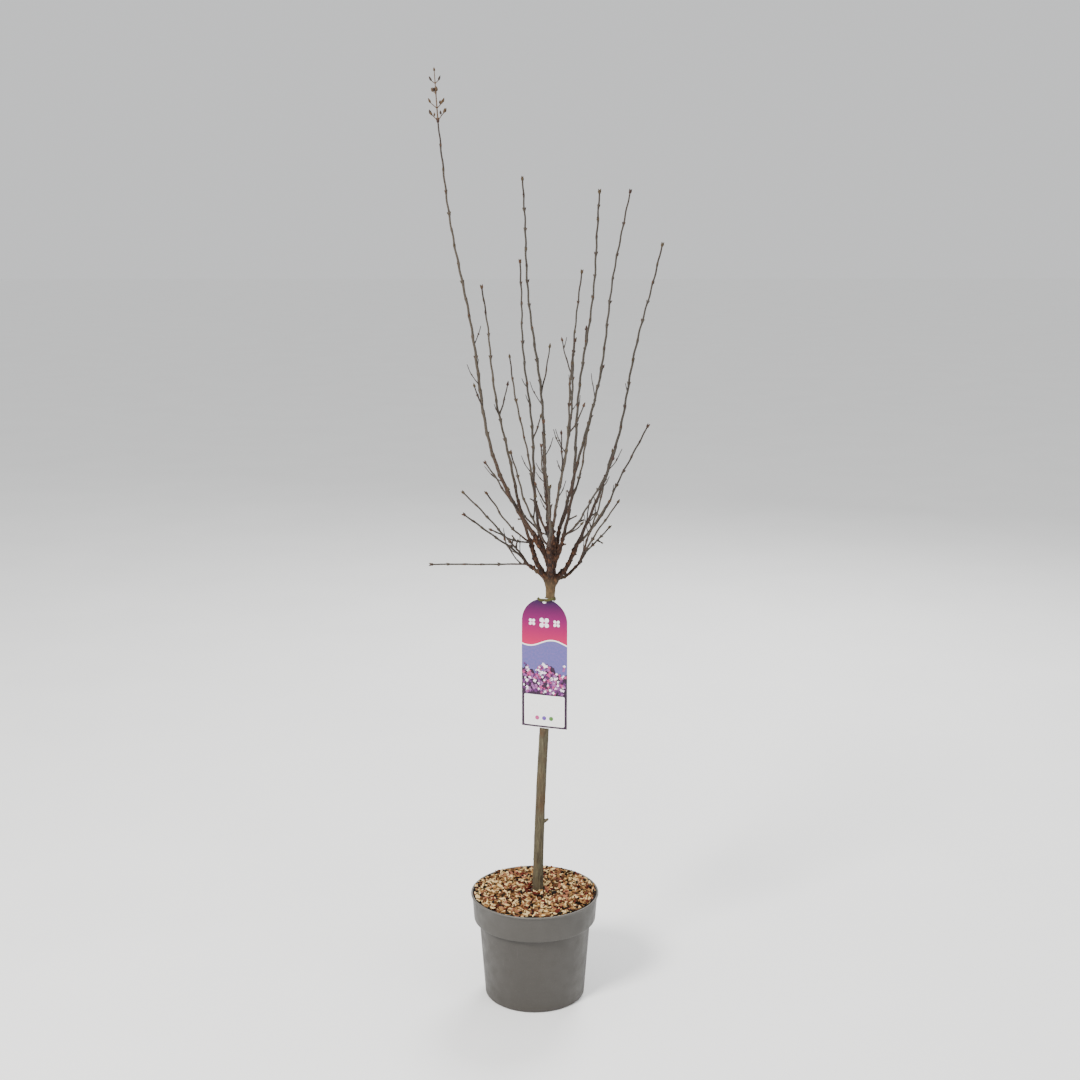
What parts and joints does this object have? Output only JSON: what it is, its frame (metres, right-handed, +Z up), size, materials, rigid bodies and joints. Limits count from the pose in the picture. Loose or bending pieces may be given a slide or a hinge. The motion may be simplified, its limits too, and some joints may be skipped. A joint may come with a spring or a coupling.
{
  "type": "grafted lilac standard in a nursery pot",
  "caption": "Young lilac grafted on a short clean stem, bare in its dormant season, in a round plastic nursery pot topped with bark chips, with a picture hang tag below the fork.",
  "frame": {"origin": "centre of the pot's flat underside, on the surface that it stands on", "axes": "+Z up along the stem; -Y towards the front, where the hang tag faces; +X to the right as seen from the front"},
  "size_m": [0.3725, 0.4001, 1.509],
  "materials": {
    "pot_plastic": "satin",
    "growing_medium": "matte",
    "bark_chips": "matte",
    "trunk_bark": "matte",
    "bough_bark": "matte",
    "twig_bark": "matte",
    "tag_card": "gloss",
    "tie_wire": "satin"
  },
  "bodies": {
    "root": {"pot": "pot_plastic", "root_ball": "growing_medium", "bark_mulch": "bark_chips", "trunk": "trunk_bark", "bough_left": "bough_bark", "bough_low_left": "bough_bark", "bough_right": "bough_bark", "bough_low_right": "bough_bark", "bough_inner_right": "bough_bark", "bough_leader_left": "bough_bark", "bough_front": "bough_bark", "bough_back": "bough_bark", "bough_back_left": "bough_bark", "bough_front_right": "bough_bark", "bough_leader": "bough_bark", "twigs_left": "twig_bark", "twigs_low_left": "twig_bark", "twigs_right": "twig_bark", "twigs_low_right": "twig_bark", "twigs_inner_right": "twig_bark", "twigs_leader": "twig_bark", "twigs_leader_left": "twig_bark", "twigs_front": "twig_bark", "twigs_back": "twig_bark", "twigs_back_left": "twig_bark", "twigs_front_right": "twig_bark", "tag": "tag_card", "tag_tie": "tie_wire"}
  },
  "joints": []
}
